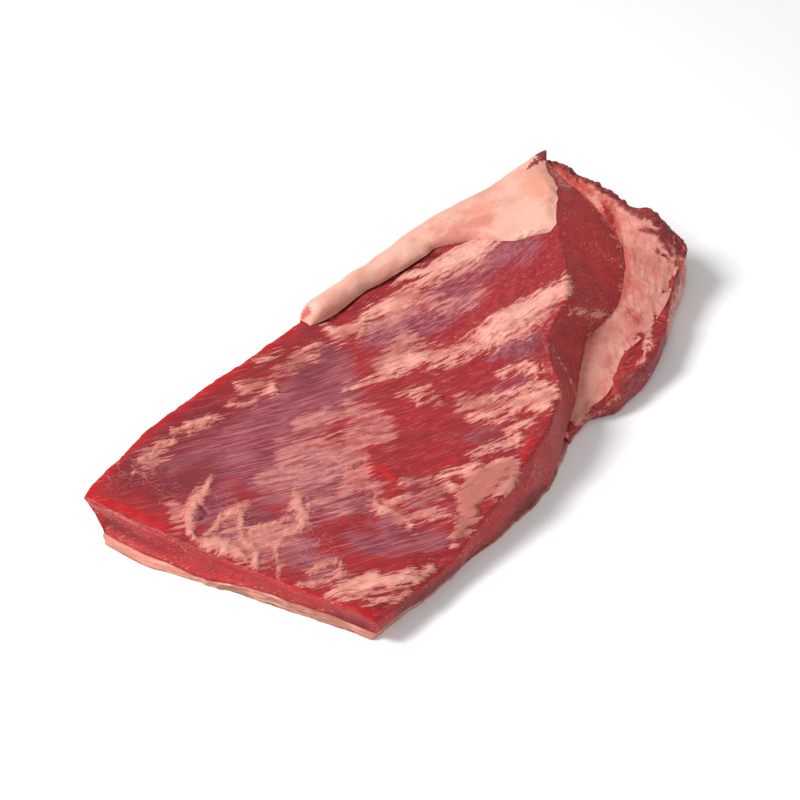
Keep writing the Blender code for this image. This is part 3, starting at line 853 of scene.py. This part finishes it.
class Tree:
    """Short way to build the nodes of one material."""

    def __init__(self, name):
        self.material = bpy.data.materials.new(name)
        self.material.use_nodes = True
        self.nodes = self.material.node_tree.nodes
        self.links = self.material.node_tree.links
        self.shader = self.nodes["Principled BSDF"]

    def put(self, socket, value):
        if isinstance(value, bpy.types.NodeSocket):
            self.links.new(value, socket)
        elif value is not None:
            socket.default_value = value

    def make(self, kind, inputs=(), **settings):
        node = self.nodes.new("ShaderNode" + kind)
        for key, value in settings.items():
            setattr(node, key, value)
        for key, value in dict(inputs).items():
            self.put(node.inputs[key], value)
        return node

    def field(self, name):
        return self.make("Attribute", attribute_name=name).outputs["Fac"]

    def vector(self, name):
        return self.make("Attribute", attribute_name=name).outputs["Vector"]

    def math(self, operation, a, b=None, c=None):
        node = self.make("Math", operation=operation)
        for slot, value in enumerate((a, b, c)):
            self.put(node.inputs[slot], value)
        return node.outputs[0]

    def scaled(self, space, size):
        node = self.make("VectorMath", operation="MULTIPLY")
        self.put(node.inputs[0], space)
        node.inputs[1].default_value = [1 / s for s in (size if np.ndim(size) else (size,) * 3)]
        return node.outputs[0]

    def noise(self, space, size, detail=3.0, rough=0.55, twist=0.0):
        """Noise from 0 to 1 whose features are size millimetres wide, for all axes or per axis."""
        inputs = {"Vector": self.scaled(space, size), "Scale": 1.0, "Detail": detail, "Roughness": rough,
                  "Distortion": twist}
        return self.make("TexNoise", inputs).outputs["Fac"]

    def threads(self, space, size, width, twist=0.6):
        """Thin curved lines, 1 on a line and 0 off it."""
        away = self.math("ABSOLUTE", self.math("SUBTRACT", self.noise(space, size, 1, 0.5, twist), 0.5))
        return self.band(away, 0.0, width, 1.0, 0.0)

    def cells(self, space, size):
        """Distance from the border between cells, 0 on the border."""
        inputs = {"Vector": self.scaled(space, size), "Scale": 1.0}
        return self.make("TexVoronoi", inputs, feature="DISTANCE_TO_EDGE").outputs["Distance"]

    def band(self, value, low, high, to_low=0.0, to_high=1.0):
        """Value brought from low..high to to_low..to_high along a soft step."""
        inputs = {"Value": value, "From Min": low, "From Max": high, "To Min": to_low, "To Max": to_high}
        return self.make("MapRange", inputs, interpolation_type="SMOOTHSTEP").outputs["Result"]

    def blend(self, share, a, b):
        """Number that goes from a to b as the share goes from 0 to 1."""
        return self.math("MULTIPLY_ADD", share, self.math("SUBTRACT", b, a), a)

    def mix(self, share, a, b):
        node = self.make("Mix", data_type="RGBA")
        self.put(node.inputs[0], share)
        self.put(node.inputs[6], a)
        self.put(node.inputs[7], b)
        return node.outputs[2]

    def layer(self, base, name, tone, noise, reach=1.0, ragged=3.0, share=1.0):
        """Tone laid where a painted field is above zero, with a border made ragged by the noise.

        Reach and ragged are in pixels."""
        edge = self.math("ADD", self.field(name), self.band(noise, 0.25, 0.75, -ragged, ragged))
        amount = self.band(edge, -reach, reach, 0, share)
        return self.mix(amount, base, tone)

    def bump(self, height, strength, distance, under=None):
        inputs = {"Height": height, "Strength": strength, "Distance": distance * MM, "Normal": under}
        return self.make("Bump", inputs).outputs["Normal"]

    def finish(self, tone, rough, normal, subsurface=0.08):
        self.put(self.shader.inputs["Base Color"], tone)
        self.put(self.shader.inputs["Roughness"], rough)
        self.put(self.shader.inputs["Normal"], normal)
        self.shader.inputs["Subsurface Weight"].default_value = subsurface
        self.shader.inputs["Subsurface Radius"].default_value = (1.0, 0.35, 0.25)
        self.shader.inputs["Subsurface Scale"].default_value = 1.5 * MM
        self.shader.inputs["Specular IOR Level"].default_value = 0.27
        return self.material


def ember_tone(tree, torn):
    """Orange tissue, mottled by the torn noise."""
    return tree.mix(tree.band(torn, 0.46, 0.62), ORANGE, EMBER)


def flat_material():
    """Muscle under silverskin and torn fat on the top, cut muscle on the walls; painted shade under the roll
    and on walls.
    """
    tree = Tree("lean_meat_look")
    grain = tree.vector("grain")
    place = tree.vector("place")
    lines = tree.noise(grain, (30, 1.3, 1.3), 3)
    bands = tree.noise(grain, (60, 7, 7), 3, 0.6)
    cloud = tree.noise(place, 26, 3)
    fine = tree.noise(place, 0.9, 4, 0.65)
    torn = tree.noise(place, 3.4, 4, 0.55, 0.3)
    fingers = tree.noise(grain, (20, 3.2, 3.2), 4, 0.55, 0.3)
    fray = tree.noise(grain, (11, 1.3, 1.3), 3, 0.55, 0.2)
    lumps = tree.noise(grain, (16, 7, 7), 3, 0.5, 0.4)
    strands = tree.noise(tree.vector("strand"), (15, 4.5, 4.5), 4, 0.55, 0.5)
    edge = tree.blend(tree.field("loose"), fingers, strands)
    calmed = tree.blend(tree.field("loose"), 1.0, 0.55)
    border = tree.math("MULTIPLY", tree.band(edge, 0.25, 0.75, -7, 5), calmed)
    border = tree.math("ADD", tree.field("fat"), border)
    border = tree.math("ADD", border, tree.band(fray, 0.3, 0.7, -2.6, 2.6))
    muscle = tree.mix(tree.band(bands, 0.32, 0.66, 0.2, 0.9), MUSCLE_DARK, MUSCLE)
    muscle = tree.mix(tree.band(lines, 0.52, 0.64, 0, 0.36), muscle, MUSCLE_PALE)
    skin = tree.mix(tree.band(lines, 0.42, 0.62), SKIN, SKIN_PALE)
    skin = tree.mix(tree.band(bands, 0.34, 0.56, 0.4, 0), skin, muscle)
    skin = tree.mix(tree.band(cloud, 0.4, 0.7, 0, 0.4), skin, HAZE_MAUVE)
    haze = tree.mix(tree.band(fingers, 0.4, 0.6), HAZE_MAUVE, HAZE)
    haze = tree.mix(tree.band(torn, 0.5, 0.66, 0, 0.7), haze, FAT)
    fat = tree.mix(tree.band(lumps, 0.34, 0.6), FAT_PINK, FAT)
    fat = tree.mix(tree.band(border, 1, 8, 0, 0.5), fat, FAT_PALE)
    fat = tree.mix(tree.band(torn, 0.52, 0.7, 0, 0.4), fat, FAT_PALE)
    fat = tree.mix(tree.band(fray, 0.5, 0.66, 0, 0.5), fat, FAT_PINK)
    fat = tree.mix(tree.math("MULTIPLY", tree.field("loose"), 0.3), fat, FAT_DULL)
    fat = tree.mix(tree.band(tree.field("dull"), -4, 5, 0, 0.95), fat, FAT_DULL)
    fat = tree.mix(tree.band(tree.field("white"), -6, 5, 0, 0.35), fat, FAT_WHITE)
    base = tree.layer(muscle, "skin", skin, bands, 9, 9)
    # Deeper muscle tones, and painted shade beside the fat roll
    base = tree.layer(base, "deep", MUSCLE_DARK, bands, 8, 4, 0.75)
    base = tree.layer(base, "murky", SKIN_DEEP, bands, 10, 6, 0.55)
    base = tree.layer(base, "bare", muscle, edge, 1.5, 5)
    base = tree.layer(base, "bright", BRIGHT, fine, 3, 3, 0.8)
    veil = tree.band(tree.math("ADD", tree.field("haze"), tree.band(fingers, 0.25, 0.75, -9, 9)), -3, 4)
    veil = tree.math("MULTIPLY", veil, tree.band(lumps, 0.34, 0.56, 0.3, 0.78))
    base = tree.mix(veil, base, haze)
    # Painted shade in the groove under the fat roll
    base = tree.layer(base, "crease_shade", CREASE_SHADE_TONE, torn, 1.2, 1.5, 0.7)
    hairs = tree.band(tree.noise(grain, (20, 0.9, 0.9), 3, 0.6, 0.2), 0.6, 0.7, 0, 0.6)
    base = tree.mix(tree.math("MULTIPLY", hairs, tree.field("fibre")), base, HAIR)
    web = tree.math("MAXIMUM", tree.threads(place, 13, 0.012, 0.2), tree.threads(place, 7.5, 0.014, 0.2))
    web = tree.math("MULTIPLY", web, tree.band(tree.field("web"), -4, 4, 0, 0.24))
    base = tree.mix(web, base, WHITE_FAT)
    density = tree.noise(grain, (13, 1.8, 1.8), 4, 0.55, 0.3)
    density = tree.math("MULTIPLY_ADD", tree.field("fat"), 0.012, density)
    density = tree.math("MULTIPLY_ADD", tree.field("scraps"), 0.005, density)
    density = tree.math("MULTIPLY_ADD", tree.field("loose"), -0.04, density)
    scrap = tree.math("MULTIPLY", tree.band(density, 0.58, 0.65, 0, 0.85), tree.field("fibre"))
    base = tree.mix(scrap, base, fat)
    hatch = tree.noise(tree.vector("hatch"), (10, 1.5, 2.2), 4, 0.6, 0.4)
    flecks = tree.noise(tree.vector("hatch"), (5, 1.3, 2), 3, 0.55, 0.6)
    flecks = tree.math("MULTIPLY_ADD", cloud, 0.35, flecks)
    cut = tree.mix(tree.band(hatch, 0.3, 0.64, 0.15, 1), CUT_DARK, CUT)
    cut = tree.mix(tree.band(tree.noise(place, 14, 3), 0.42, 0.62, 0, 0.45), cut, CUT_DARK)
    cut = tree.mix(tree.band(hatch, 0.58, 0.72, 0, 0.32), cut, MUSCLE_PALE)
    cut = tree.mix(tree.band(tree.cells(place, (4.2, 4.2, 6.0)), 0.0, 0.05, 0.16, 0), cut, MUSCLE_PALE)
    cut = tree.mix(tree.band(flecks, 0.79, 0.86, 0, 0.55), cut, WHITE_FAT)
    base = tree.mix(tree.field("cut"), base, cut)
    # Painted shade on the cut walls that lie in shade
    base = tree.layer(base, "wall_shade", WALL_SHADE_TONE, hatch, 4, 4, 0.88)
    ember = ember_tone(tree, torn)
    base = tree.layer(base, "orange", ember, torn, 3, 3)
    base = tree.layer(base, "red", BRIGHT, torn, 2, 3)
    fat_share = tree.band(border, -0.9, 0.9, 0, 0.97)
    base = tree.mix(fat_share, base, fat)
    base = tree.layer(base, "pale", HAIR, torn, 1, 0.7, 0.8)
    raised = tree.math("MAXIMUM", fat_share, scrap)
    rough = tree.band(raised, 0, 1, 0.34, 0.52)
    normal = tree.bump(lines, 0.5, 0.5)
    normal = tree.bump(hatch, tree.math("MULTIPLY", tree.field("cut"), 0.8), 1.0, normal)
    normal = tree.bump(tree.band(border, -2, 4), 0.5, 0.9, normal)
    normal = tree.bump(lumps, tree.band(raised, 0, 1, 0.1, 0.6), 3.0, normal)
    normal = tree.bump(fray, tree.band(raised, 0, 1, 0.15, 0.65), 1.3, normal)
    normal = tree.bump(fine, 0.35, 0.4, normal)
    return tree.finish(base, rough, normal)


def end_material(name, light, dark, line_size, rough):
    """Fat or muscle around the thick end, with the other tissues painted on, and painted light on its shaded
    lower fat.
    """
    tree = Tree(name)
    grain = tree.vector("grain")
    place = tree.vector("place")
    lines = tree.noise(grain, line_size, 4, 0.6, 0.3)
    cloud = tree.noise(place, (16, 16, 16), 4, 0.6)
    fine = tree.noise(place, 0.9, 4, 0.65)
    torn = tree.noise(place, (4, 4, 4), 5, 0.7, 0.8)
    base = tree.mix(tree.band(cloud, 0.32, 0.68), light, dark)
    base = tree.mix(tree.band(lines, 0.5, 0.7, 0, 0.65), base, dark)
    muscle = tree.mix(tree.band(fine, 0.3, 0.7), MUSCLE_DARK, MUSCLE)
    fat = tree.mix(tree.band(lines, 0.4, 0.7), SEAM, SEAM_PINK)
    base = tree.mix(tree.band(fine, 0.46, 0.66, 0, 0.4), base, dark)
    purple = tree.mix(tree.band(torn, 0.5, 0.66), PURPLE, PURPLE_PALE)
    base = tree.layer(base, "fat", fat, torn, 2, 4)
    ember = ember_tone(tree, torn)
    base = tree.layer(base, "stain", ember, torn, 3, 3, 0.7)
    base = tree.layer(base, "orange", ember, torn, 4, 4, 0.9)
    base = tree.layer(base, "purple", purple, torn, 2.5, 2)
    base = tree.layer(base, "red", muscle, torn, 1.5, 3)
    vessels = tree.band(tree.noise(grain, (12, 1.6, 1.6), 4, 0.6, 0.4), 0.57, 0.7, 0, 0.6)
    base = tree.mix(vessels, base, ORANGE)
    thread = tree.threads(grain, (24, 5, 5), 0.01)
    base = tree.mix(tree.math("MULTIPLY", thread, 0.45), base, WHITE_FAT)
    # Pale tissue, and painted light on the shaded lower part of the seam fat
    base = tree.layer(base, "pale", END_PALE_AND_PAINTED_LIGHT, torn, 1.5, 3, 0.85)
    normal = tree.bump(lines, 0.5, 0.7)
    normal = tree.bump(torn, 0.35, 1.2, normal)
    normal = tree.bump(fine, 0.3, 0.4, normal)
    return tree.finish(base, rough, normal, 0.12)


def cap_material():
    """Layered edge of the fat cap, and its soft underside."""
    tree = Tree("cap_fat_look")
    place = tree.vector("place")
    layers = tree.noise(place, (30, 30, 1.4), 4, 0.6, 0.4)
    cloud = tree.noise(place, 24, 4, 0.6)
    fine = tree.noise(place, 1.0, 4, 0.65)
    base = tree.mix(tree.band(cloud, 0.34, 0.68), CAP, CAP_DULL)
    base = tree.mix(tree.band(layers, 0.5, 0.62, 0, 0.7), base, WHITE_FAT)
    dark_lines = tree.noise(place, (18, 18, 1.1), 4, 0.6, 0.5)
    base = tree.mix(tree.band(dark_lines, 0.54, 0.64, 0, 0.8), base, CAP_LINE)
    base = tree.mix(tree.band(tree.noise(place, (9, 9, 9), 4, 0.65), 0.6, 0.74, 0, 0.5), base, FAT_PINK)
    base = tree.layer(base, "pale", FAT, cloud, 3, 3, 0.45)
    normal = tree.bump(layers, 0.5, 0.8)
    normal = tree.bump(fine, 0.3, 0.4, normal)
    return tree.finish(base, 0.48, normal, 0.12)


def roll_material():
    """Smooth pinkish cream fat of the roll and the sheet."""
    tree = Tree("edge_fat_look")
    place = tree.vector("place")
    grain = tree.vector("grain")
    cloud = tree.noise(place, (26, 14, 14), 4, 0.55)
    torn = tree.noise(place, (4, 4, 4), 5, 0.7, 0.8)
    fine = tree.noise(place, 0.8, 4, 0.65)
    dots = tree.noise(place, 2.2, 4, 0.6)
    base = tree.mix(tree.band(cloud, 0.36, 0.66), ROLL, ROLL_PINK)
    base = tree.layer(base, "shade", ROLL_SHADE, cloud, 7, 4, 0.9)
    base = tree.layer(base, "pale", ROLL_WHITE, torn, 7, 5, 0.9)
    base = tree.layer(base, "orange", ROLL_ORANGE, torn, 6, 5, 0.8)
    base = tree.layer(base, "red", BRIGHT, torn, 2, 3, 0.8)
    base = tree.layer(base, "purple", PURPLE, torn, 1.5, 3)
    base = tree.mix(tree.band(dots, 0.58, 0.72, 0, 0.35), base, FAT_PALE)
    thread = tree.threads(grain, (24, 6, 6), 0.008)
    base = tree.mix(tree.math("MULTIPLY", thread, 0.35), base, FAT_PINK)
    lines = tree.noise(grain, (26, 2.6, 2.6), 4, 0.55, 0.2)
    muscle = tree.mix(tree.band(lines, 0.4, 0.64), SKIN, SKIN_PALE)
    base = tree.layer(base, "border", muscle, lines, 4, 8, 0.6)
    normal = tree.bump(dots, 0.45, 1.0)
    normal = tree.bump(fine, 0.25, 0.3, normal)
    return tree.finish(base, 0.44, normal, 0.15)


def put_field(mesh, name, values):
    kind = "FLOAT" if values.ndim == 1 else "FLOAT_VECTOR"
    layer = mesh.attributes.new(name, kind, "POINT")
    layer.data.foreach_set("value" if values.ndim == 1 else "vector", values.astype(np.float32).ravel())


def new_object(name, data):
    """Object that shows the data, put into the scene."""
    made = bpy.data.objects.new(name, data)
    bpy.context.collection.objects.link(made)
    return made


def piece(name, node, points, faces, fields, material):
    """Mesh in the row frame that stands for a CAD node."""
    mesh = bpy.data.meshes.new(name)
    mesh.from_pydata(((points - ROW_ORIGIN) * MM).tolist(), [], faces)
    mesh.polygons.foreach_set("use_smooth", [True] * len(mesh.polygons))
    for key, values in fields.items():
        put_field(mesh, key, values)
    mesh.materials.append(material)
    made = new_object(name, mesh)
    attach(made, "root")
    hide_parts(node)
    return made


def keep_above_floor(points):
    points[:, 2] = np.maximum(points[:, 2], 0.0)
    return points


def torn_shift(space, size):
    """Two noises that shift painted strokes sideways and down, stretched along the grain."""
    return np.stack([layered_noise(space, size, 3, 4), layered_noise(space, size, 8, 4)], -1)


def painted(spots, table, normal):
    """Fields of a paint table, in pixels inside the strokes. They are cut off at the reach and where the view
    sees nothing."""
    away = 2 * REACH * ease(-(normal @ view_axes()[0]) / UNSEEN_FROM)
    fields = {}
    for name, strokes in table.items():
        fields[name] = np.clip(stroke_field(spots, strokes) - away, -REACH, REACH)
    return fields


def make_flat():
    spots, faces = box_skin(400, 190, 12, 10)
    points = sway(relax(flat_place(*spots.T), faces, 3))
    top = fade(spots[:, 2], *TOP_FADE)
    wall = ease((1 - spots[:, 2]) * WALL_SHARPNESS)
    seen = picture_spots(points)
    grain = grain_space(points)
    shift = torn_shift(grain, (9, 3, 3))
    loose = ease((LOOSE_FROM - points[:, 0]) / LOOSE_REACH) * fade(points[:, 1], LOOSE_NEAR, LOOSE_NEAR_REACH)
    steady = 1 - LOOSE_CALM * loose
    normal = vertex_normals(points, faces)
    fields = painted(seen + shift * 1.5 * steady[:, None], TOP_PAINT, normal)
    streaks = layered_noise(grain, (14, 3.2, 3.2), 12) * steady
    fields["fat"] = np.minimum(fields["fat"] + 1.5 * streaks, -fields.pop("hole"))
    ends = painted(seen + shift, END_PAINT, normal)
    for name in fields:
        fields[name] = np.where(top > 0.5, fields[name], -REACH)
    fields["fat"] = np.maximum(fields["fat"], np.where(top > 0.5, -REACH, ends["fat"]))
    for name in ("orange", "pale", "red", "wall_shade"):
        fields[name] = np.where(wall > 0.5, ends[name], -REACH)
    fields["pale"] = np.where(seen[:, 0] < FRONT_LEFT, ends["pale"], fields["pale"])
    fringe = FRINGE - points[:, 2] + flat_low(points[:, 0], points[:, 1])
    fringe = fringe * fade(points[:, 0], THICK_END, THICK_END_FADE)
    fringe = fringe + 2.2 * layered_noise(points, (7, 7, 12), 15)
    thick_end = (wall > 0.5) & (points[:, 0] > THICK_END) & (spots[:, 2] > 0)
    fields["fat"] = np.where(thick_end, np.maximum(fields["fat"], fringe), fields["fat"])
    fields["fat"] = fields["fat"] + FAT_SPREAD
    raised = np.sqrt(np.clip((fields["fat"] - 0.5) / 5, 0, 1))
    lift = raised * (1.6 - 0.4 * loose + 0.9 * layered_noise(grain, (12, 6, 6), 21)) * top
    lift += 0.5 * raised * loose * layered_noise(points, 3.5, 25) * top
    lift += 0.35 * layered_noise(grain, (36, 5, 5), 30) * top
    lift += 0.25 * layered_noise(grain, (14, 3, 3), 33) * ease(fields["scraps"] / 8) * top
    lift += 0.5 * layered_noise(points, 16, 40) + 0.35 * layered_noise(points, 5, 41) * (1 - top)
    lift -= 1.5 * ease((fields["crease_shade"] + 3) / 5) * top
    lift += (0.6 + 0.9 * layered_noise(points, 9, 44)) * ease((fields["bright"] + 4) / 8) * top
    points = keep_above_floor(points + normal * lift[:, None])
    hatch = np.stack([points[:, 2] - points[:, 1], points[:, 2] + points[:, 1], points[:, 0]], -1)
    strand = sheared(points, STRAND_SLOPE)
    fields.update({"grain": grain, "strand": strand, "hatch": hatch, "place": points})
    fields.update({"cut": wall, "fibre": top, "loose": loose})
    return piece("flat_meat", "flat_muscle", points, faces, fields, flat_material())


def make_end(name, node, place, counts, rounds, coarse, grain_slope, material):
    """The point or the seam fat: one lattice piece with the tissues of the thick end painted on."""
    spots, faces = box_skin(*counts)
    points = sway(relax(place(*spots.T), faces, rounds))
    slope = sheared(points, grain_slope)
    normal = vertex_normals(points, faces)
    lift = coarse * layered_noise(points, 11, 50) + 0.35 * layered_noise(points, 4, 51)
    lift += 0.3 * layered_noise(slope, (30, 4, 4), 60)
    far_rim = fade(spots[:, 1], *CRAGS_ACROSS) * fade(spots[:, 0], *CRAGS_ALONG)
    rim = np.maximum(far_rim, fade(spots[:, 0], *CRAGS_END)) * fade(spots[:, 2], *CRAGS_UP)
    lift += RIM_CRAGS * layered_noise(points, 4.5, 63) * rim
    fields = painted(picture_spots(points) + torn_shift(points, (7, 7, 7)) * 1.6, END_PAINT, normal)
    fields.pop("wall_shade")
    beside_near = smooth(FLAT_NEAR_LOW, points[:, 0]) - points[:, 1]
    beyond_end = points[:, 0] - smooth(FLAT_END_LOW, share_across(points[:, 0], points[:, 1]))
    fields["stain"] = smooth(STAIN_REACH, points[:, 0]) - np.maximum(beside_near, beyond_end)
    if place is seam_place:
        from_end = smooth(SEAM_END, share_across(points[:, 0], points[:, 1])) - points[:, 0]
        fields["purple"] = np.maximum(fields["purple"], RIM_DARK - from_end)
    points = keep_above_floor(points + normal * lift[:, None])
    fields.update({"grain": slope, "place": points})
    return piece(name, node, points, faces, fields, material)


def make_cap():
    spots, faces = box_skin(330, 120, 6, 6)
    points = sway(relax(cap_place(*spots.T), faces, 2))
    normal = vertex_normals(points, faces)
    front = 0.7 + 0.8 * ease((-120 - points[:, 0]) / 60)
    lift = (front * layered_noise(points, 9, 70) + 0.3 * layered_noise(points, 3, 71)) * (spots[:, 2] > 0)
    fields = painted(picture_spots(points), CAP_PAINT, normal)
    fields["place"] = points
    points = keep_above_floor(points + normal * lift[:, None] * (1, 1, 0))
    points[:, 2] *= spots[:, 2] > 0
    return piece("fat_cap_layer", "fat_cap", points, faces, fields, cap_material())


def make_edge():
    spots, faces = box_skin(240, 130, 3)
    points = sway(relax(edge_place(*spots.T), faces, 3))
    normal = vertex_normals(points, faces)
    lift = 0.5 * layered_noise(points, 22, 80) + 0.2 * layered_noise(points, 6, 81)
    fields = painted(picture_spots(points) + torn_shift(points, (8, 8, 8)) * 1.5, ROLL_PAINT, normal)
    points = points + normal * lift[:, None]
    u = ROLL_START + (1 - ROLL_START) * spots[:, 0]
    base = edge_base(u, spots[:, 1])
    inwards = np.linalg.norm(base - edge_base(u, np.zeros_like(u)), axis=-1)
    upwards = np.linalg.norm(base - edge_base(u, np.ones_like(u)), axis=-1)
    from_end = np.linalg.norm(base - edge_base(np.ones_like(u), spots[:, 1]), axis=-1)
    sheet = fade(u, *BORDER_START) * (1 - fade(u, *BORDER_END))
    fields["border"] = (BORDER - inwards) * sheet - REACH * (1 - sheet)
    on_wall = np.where(spots[:, 1] > ROLL_SHARE_TOP, WALL_BORDER - np.minimum(upwards, from_end), -REACH)
    fields["border"] = np.maximum(fields["border"], on_wall)
    on_rim = np.abs(spots[:, 1] - ROLL_SHARE_TOP) < RIM_BAND
    tip = points[np.argmax(points[:, 2] * (u > TIP_SEARCH) * on_rim)]
    fields["purple"] = np.maximum(fields["purple"], TIP_DARK - np.linalg.norm(points - tip, axis=-1))
    fields["orange"] = np.maximum(fields["orange"], 2 - from_end)
    fields.update({"grain": grain_space(points), "place": points})
    return piece("edge_fat_roll", "edge_fat", points, faces, fields, roll_material())


FLOOR_REACH = 6.0
FLOOR_DROP = 0.3
WORLD_LIGHT = 0.42
# Lamps as (name, offset from the meat in metres, size, power)
LAMPS = [
    ("key", (-1.3, 1.2, 1.9), 1.0, 76.0),
    ("fill", (-1.6, -1.4, 1.5), 1.6, 18.0),
]


def make_stage():
    """White floor, soft light from the upper left and behind, and the camera of the photo."""
    turns = ((-1, -1), (1, -1), (1, 1), (-1, 1))
    corners = [(x * FLOOR_REACH, y * FLOOR_REACH, 0) for x, y in turns]
    floor_mesh = bpy.data.meshes.new("floor")
    floor_mesh.from_pydata(corners, [], [(0, 1, 2, 3)])
    floor = new_object("floor", floor_mesh)
    floor.location.z = -FLOOR_DROP * MM
    tree = Tree("white_paper")
    tree.shader.inputs["Base Color"].default_value = (0.92, 0.92, 0.92, 1)
    tree.shader.inputs["Roughness"].default_value = 0.8
    tree.shader.inputs["Specular IOR Level"].default_value = 0.1
    floor_mesh.materials.append(tree.material)

    world = bpy.data.worlds.new("studio")
    world.use_nodes = True
    world.node_tree.nodes["Background"].inputs["Color"].default_value = (1, 1, 1, 1)
    world.node_tree.nodes["Background"].inputs["Strength"].default_value = WORLD_LIGHT
    bpy.context.scene.world = world

    back, right, up = (Vector(axis) for axis in view_axes())
    target = Vector((VIEW_TARGET - ROW_ORIGIN) * MM)
    for name, offset, size, power in LAMPS:
        lamp = bpy.data.lights.new(name, "AREA")
        lamp.shape = "SQUARE"
        lamp.size = size
        lamp.energy = power
        holder = new_object(name, lamp)
        holder.location = target + Vector(offset)
        holder.rotation_euler = (-Vector(offset)).to_track_quat("-Z", "Y").to_euler()

    camera = new_object("camera", bpy.data.cameras.new("camera"))
    camera.data.sensor_width = SENSOR_WIDTH
    camera.data.lens = FOCAL_PIXELS / VIEW_PIXELS * SENSOR_WIDTH
    camera.matrix_world = Matrix((right, up, back)).transposed().to_4x4()
    camera.location = target + back * VIEW_DISTANCE
    bpy.context.scene.camera = camera
    bpy.context.scene.view_settings.view_transform = "Standard"


make_flat()
make_end("point_meat", "point_muscle", point_place, (170, 120, 24, 8), 2, 0.9, -0.35,
         end_material("dark_meat_look", POINT_MEAT, MUSCLE_DARK, (14, 3.5, 3.5), 0.4))
make_end("seam_fat_layer", "seam_fat", seam_place, (190, 150, 4, 8), 2, 0.6, 0.84,
         end_material("seam_fat_look", SEAM, SEAM_PINK, (9, 1.3, 1.3), 0.46))
make_cap()
make_edge()
make_stage()
